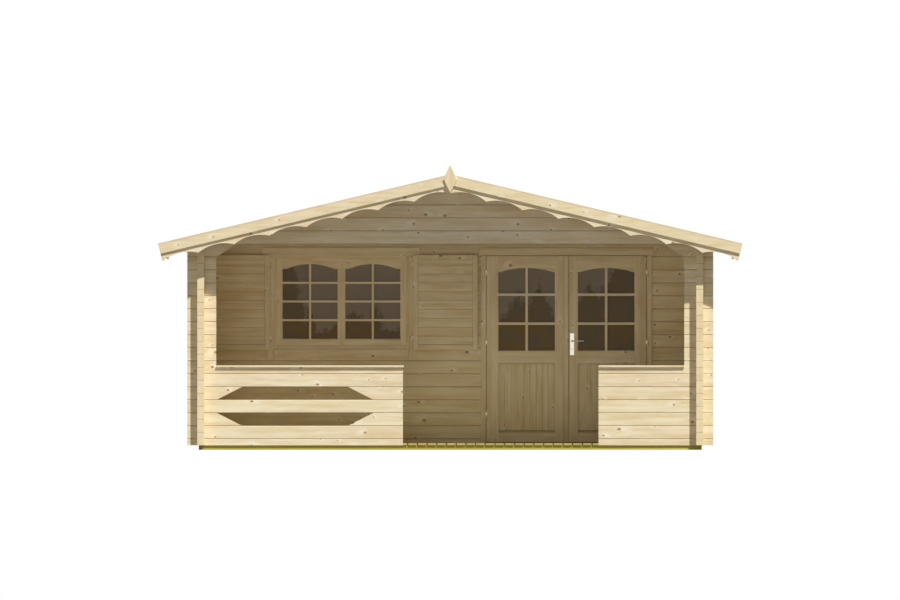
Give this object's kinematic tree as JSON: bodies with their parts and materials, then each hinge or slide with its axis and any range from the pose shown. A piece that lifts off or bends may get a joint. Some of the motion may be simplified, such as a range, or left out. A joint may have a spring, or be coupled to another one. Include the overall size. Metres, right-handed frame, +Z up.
{
  "type": "garden log cabin",
  "caption": "Garden log cabin of interlocking logs with a covered terrace, glazed double door, shuttered window and a low gabled roof with scalloped valances.",
  "frame": {"origin": "on the ground, at the middle of the roof's plan outline", "axes": "+X along the front to the right as seen from the terrace, +Y from the terrace to the rear, +Z up"},
  "size_m": [5.844, 5.604, 2.8509],
  "materials": {
    "spruce": "planed untreated spruce",
    "treated_wood": "pressure-treated, yellow green",
    "glass": "clear, dark room behind",
    "hinge_steel": "yellow passivated",
    "handle_steel": "satin"
  },
  "bodies": {
    "root": {"foundation_beams": "treated_wood", "terrace_deck": "treated_wood", "room_floor": "spruce", "side_wall_left": "spruce", "side_wall_right": "spruce", "rear_wall": "spruce", "front_gable": "spruce", "corner_stubs": "spruce", "balustrade_left": "spruce", "balustrade_right": "spruce", "handrails": "spruce", "cabin_wall_left": "spruce", "cabin_wall_under_window": "spruce", "cabin_wall_middle": "spruce", "cabin_wall_right": "spruce", "cabin_wall_top": "spruce", "window_frame": "spruce", "window_casing": "spruce", "window_sashes": "spruce", "window_glass": "glass", "door_frame": "spruce", "door_sill": "treated_wood", "door_casing": "spruce", "hinge_pins": "hinge_steel", "purlins": "spruce", "roof_boards_left": "spruce", "roof_boards_right": "spruce", "verge_laths": "spruce", "bargeboard_left": "spruce", "bargeboard_right": "spruce", "valance_left": "spruce", "valance_right": "spruce", "finial": "spruce", "bargeboards_rear": "spruce", "eave_fascias": "spruce"},
    "door_left": {"door_leaf_left": "spruce", "door_glass_left": "glass", "door_hinges_left": "hinge_steel"},
    "door_right": {"door_leaf_right": "spruce", "door_glass_right": "glass", "door_hinges_right": "hinge_steel", "door_handle": "handle_steel"},
    "shutter_left_body": {"shutter_left": "spruce", "shutter_hinges_left": "hinge_steel"},
    "shutter_right_body": {"shutter_right": "spruce", "shutter_hinges_right": "hinge_steel"}
  },
  "joints": [
    {"name": "door_left_swing", "type": "hinge", "parent": "root", "child": "door_left", "pos_m": [0.351, -1.002, 1], "axis": [0, 0, -1], "range_deg": [0, 110]},
    {"name": "door_right_swing", "type": "hinge", "parent": "root", "child": "door_right", "pos_m": [1.973, -1.002, 1], "axis": [0, 0, 1], "range_deg": [0, 110]},
    {"name": "shutter_left_swing", "type": "hinge", "parent": "root", "child": "shutter_left_body", "pos_m": [-1.79, -1.014, 1.4735], "axis": [0, 0, 1], "range_deg": [0, 180]},
    {"name": "shutter_right_swing", "type": "hinge", "parent": "root", "child": "shutter_right_body", "pos_m": [-0.386, -1.014, 1.4735], "axis": [0, 0, -1], "range_deg": [0, 180]}
  ]
}
